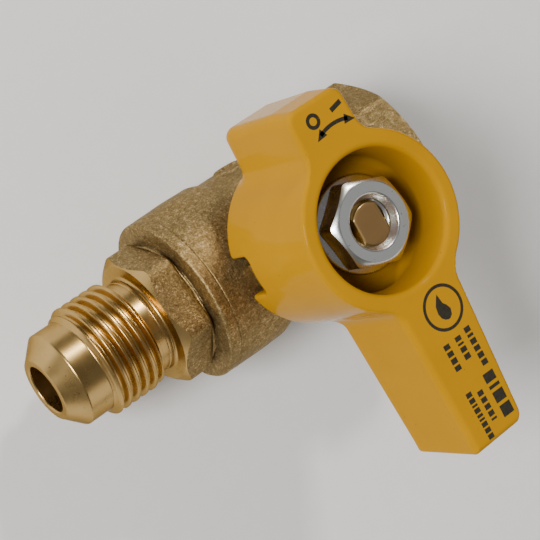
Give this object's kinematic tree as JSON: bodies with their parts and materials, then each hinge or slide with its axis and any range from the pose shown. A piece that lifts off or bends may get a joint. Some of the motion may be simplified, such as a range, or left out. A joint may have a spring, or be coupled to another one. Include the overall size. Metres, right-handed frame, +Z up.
{
  "type": "gas ball valve",
  "caption": "Straight quarter-turn gas ball valve with a male flare end, a female pipe-thread end and a yellow lever handle under a flange nut, shown closed.",
  "frame": {"origin": "centre of the female pipe end's mouth, in the plane of its face", "axes": "+X along the pipe axis out of the female mouth, so the flare points to -X; +Z up along the stem towards the nut; at rest the valve is closed and the lever points to -Y"},
  "size_m": [0.0602, 0.0491, 0.0445],
  "materials": {
    "cast_brass": "sand cast, matt and grainy",
    "turned_brass": "machined bright",
    "ball_chrome": "polished",
    "seat_plastic": "matt white fluoropolymer",
    "seal_rubber": "black nitrile",
    "yellow_coating": "gloss yellow coating on a die-cast core",
    "zinc_plate": "bright zinc plate"
  },
  "bodies": {
    "valve": {"valve_body": "cast_brass", "flare_tailpiece": "turned_brass", "seat_ring_inlet": "seat_plastic", "seat_ring_outlet": "seat_plastic", "stem_thrust_washer": "seat_plastic", "stem_o_ring_lower": "seal_rubber", "stem_o_ring_upper": "seal_rubber"},
    "handle": {"handle": "yellow_coating", "handle_nut": "zinc_plate", "stem": "turned_brass"},
    "ball": {"ball": "ball_chrome"}
  },
  "joints": [
    {"name": "handle_turn", "type": "hinge", "parent": "valve", "child": "handle", "pos_m": [-0.0226, 0, 0], "axis": [0, 0, 1], "range_deg": [0, 90]},
    {"name": "ball_turn", "type": "hinge", "parent": "valve", "child": "ball", "pos_m": [-0.0226, 0, 0], "axis": [0, 0, 1], "range_deg": [0, 90]}
  ],
  "couplings": [
    {"joint": "ball_turn", "follows": "handle_turn", "ratio": 1}
  ]
}
